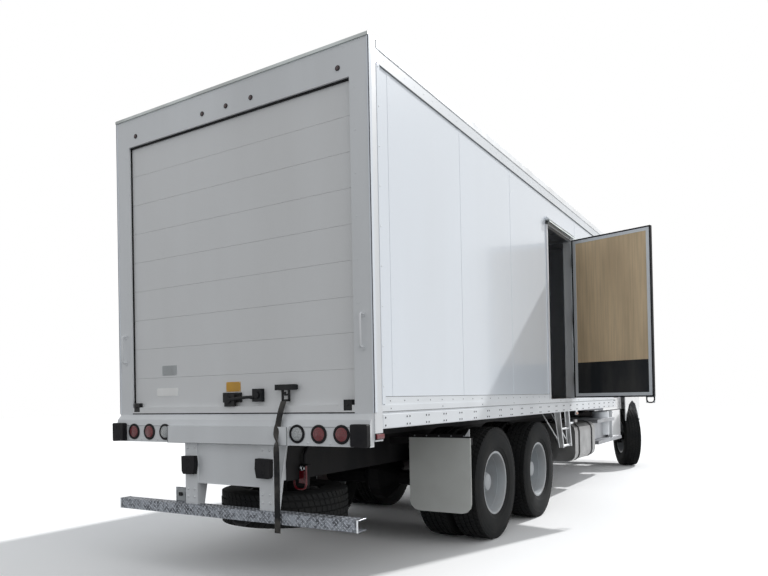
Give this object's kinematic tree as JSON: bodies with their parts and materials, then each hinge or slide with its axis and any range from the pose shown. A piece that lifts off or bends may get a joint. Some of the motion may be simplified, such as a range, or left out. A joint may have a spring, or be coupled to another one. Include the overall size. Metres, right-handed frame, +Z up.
{
  "type": "rigid box truck",
  "caption": "Rigid box truck with a conventional cab, tandem drive axles, overhead rear door and a hinged side door standing open.",
  "frame": {"origin": "on the ground under the middle of the whole truck's box, with the side door as it stands open; the truck's own centreline is at x = -0.4895 m", "axes": "+X to the truck's right, +Y forward, +Z up"},
  "size_m": [3.5817, 10.566, 3.765],
  "materials": {
    "box_white": "satin",
    "frame_white": "satin",
    "door_white": "satin",
    "cab_white": "gloss",
    "rail_aluminium": "satin",
    "tread_aluminium": "satin",
    "tank_aluminium": "satin",
    "floor_wood": "satin",
    "plywood": "satin",
    "chassis_black": "satin",
    "black_steel": "satin",
    "black_rubber": "matte",
    "strap_webbing": "matte",
    "red_lens": "gloss",
    "clear_lens": "gloss",
    "bumper_chrome": "polished",
    "flap_white": "matte",
    "step_metal": "satin",
    "exhaust_steel": "satin",
    "engine_iron": "matte",
    "window_glass": "clear",
    "interior_grey": "matte",
    "ladder_steel": "satin",
    "grille_black": "satin",
    "tyre": "matte",
    "rim_white": "gloss"
  },
  "bodies": {
    "chassis": {"cargo_floor": "floor_wood", "cargo_left_wall": "box_white", "cargo_right_wall": "box_white", "cargo_front_wall": "box_white", "cargo_roof": "box_white", "cargo_rails": "rail_aluminium", "rear_frame": "frame_white", "overhead_door": "door_white", "rear_sill": "frame_white", "red_lamps": "red_lens", "reverse_lamps": "clear_lens", "rear_rubbers": "black_rubber", "bumper_hanger": "frame_white", "step_bumper": "tread_aluminium", "door_fittings": "black_steel", "chassis_frame": "chassis_black", "frame_brackets": "chassis_black", "pull_strap": "strap_webbing", "front_bumper": "bumper_chrome", "front_axle": "chassis_black", "drive_axles": "chassis_black", "mudflaps": "flap_white", "fuel_tank": "tank_aluminium", "cab_steps": "step_metal", "exhaust": "exhaust_steel", "engine_block": "engine_iron", "radiator": "chassis_black", "cab_shell": "cab_white", "cab_glass": "window_glass", "cab_interior": "interior_grey", "side_door_frame": "rail_aluminium", "side_ladder": "ladder_steel"},
    "rear_wheel_left": {"rear_left_tyres": "tyre", "rear_left_rims": "rim_white"},
    "rear_wheel_right": {"rear_right_tyres": "tyre", "rear_right_rims": "rim_white"},
    "mid_wheel_left": {"mid_left_tyres": "tyre", "mid_left_rims": "rim_white"},
    "mid_wheel_right": {"mid_right_tyres": "tyre", "mid_right_rims": "rim_white"},
    "knuckle_left": {"steering_knuckle_left": "chassis_black"},
    "knuckle_right": {"steering_knuckle_right": "chassis_black"},
    "front_wheel_left": {"front_tyre_left": "tyre", "front_rim_left": "rim_white"},
    "front_wheel_right": {"front_tyre_right": "tyre", "front_rim_right": "rim_white"},
    "side_door_leaf": {"side_door": "rail_aluminium", "side_door_lining": "plywood"},
    "cab_door_left_body": {"cab_door_left": "cab_white", "door_glass_left": "window_glass"},
    "cab_door_right_body": {"cab_door_right": "cab_white", "door_glass_right": "window_glass"},
    "hood_body": {"hood": "cab_white", "grille": "grille_black", "headlamps": "clear_lens"}
  },
  "joints": [
    {"name": "rear_left_spin", "type": "hinge", "parent": "chassis", "child": "rear_wheel_left", "pos_m": [-1.427, -2.905, 0.525], "axis": [-1, 0, 0], "continuous": true},
    {"name": "rear_right_spin", "type": "hinge", "parent": "chassis", "child": "rear_wheel_right", "pos_m": [0.448, -2.905, 0.525], "axis": [-1, 0, 0], "continuous": true},
    {"name": "mid_left_spin", "type": "hinge", "parent": "chassis", "child": "mid_wheel_left", "pos_m": [-1.427, -1.605, 0.525], "axis": [-1, 0, 0], "continuous": true},
    {"name": "mid_right_spin", "type": "hinge", "parent": "chassis", "child": "mid_wheel_right", "pos_m": [0.448, -1.605, 0.525], "axis": [-1, 0, 0], "continuous": true},
    {"name": "steer_right", "type": "hinge", "parent": "chassis", "child": "knuckle_right", "pos_m": [0.3305, 4.425, 0.525], "axis": [0, 0, 1], "range_deg": [-60, 10]},
    {"name": "steer_left", "type": "hinge", "parent": "chassis", "child": "knuckle_left", "pos_m": [-1.3095, 4.425, 0.525], "axis": [0, 0, 1], "range_deg": [-60, 10]},
    {"name": "front_left_spin", "type": "hinge", "parent": "knuckle_left", "child": "front_wheel_left", "pos_m": [-1.3095, 4.425, 0.525], "axis": [-0.9063, -0.4226, 0], "continuous": true},
    {"name": "front_right_spin", "type": "hinge", "parent": "knuckle_right", "child": "front_wheel_right", "pos_m": [0.3305, 4.425, 0.525], "axis": [-0.9063, -0.4226, 0], "continuous": true},
    {"name": "side_door_hinge", "type": "hinge", "parent": "chassis", "child": "side_door_leaf", "pos_m": [0.8155, -0.245, 2.294], "axis": [0, 0, 1], "range_deg": [-76, 94]},
    {"name": "cab_door_left_hinge", "type": "hinge", "parent": "chassis", "child": "cab_door_left_body", "pos_m": [-1.5495, 3.527, 1.5], "axis": [0, 0, -1], "range_deg": [0, 65]},
    {"name": "cab_door_right_hinge", "type": "hinge", "parent": "chassis", "child": "cab_door_right_body", "pos_m": [0.5705, 3.527, 1.5], "axis": [0, 0, 1], "range_deg": [0, 65]},
    {"name": "hood_hinge", "type": "hinge", "parent": "chassis", "child": "hood_body", "pos_m": [-0.4895, 5.175, 0.76], "axis": [-1, 0, 0], "range_deg": [0, 60]}
  ],
  "couplings": [
    {"joint": "steer_left", "follows": "steer_right", "ratio": 1}
  ]
}
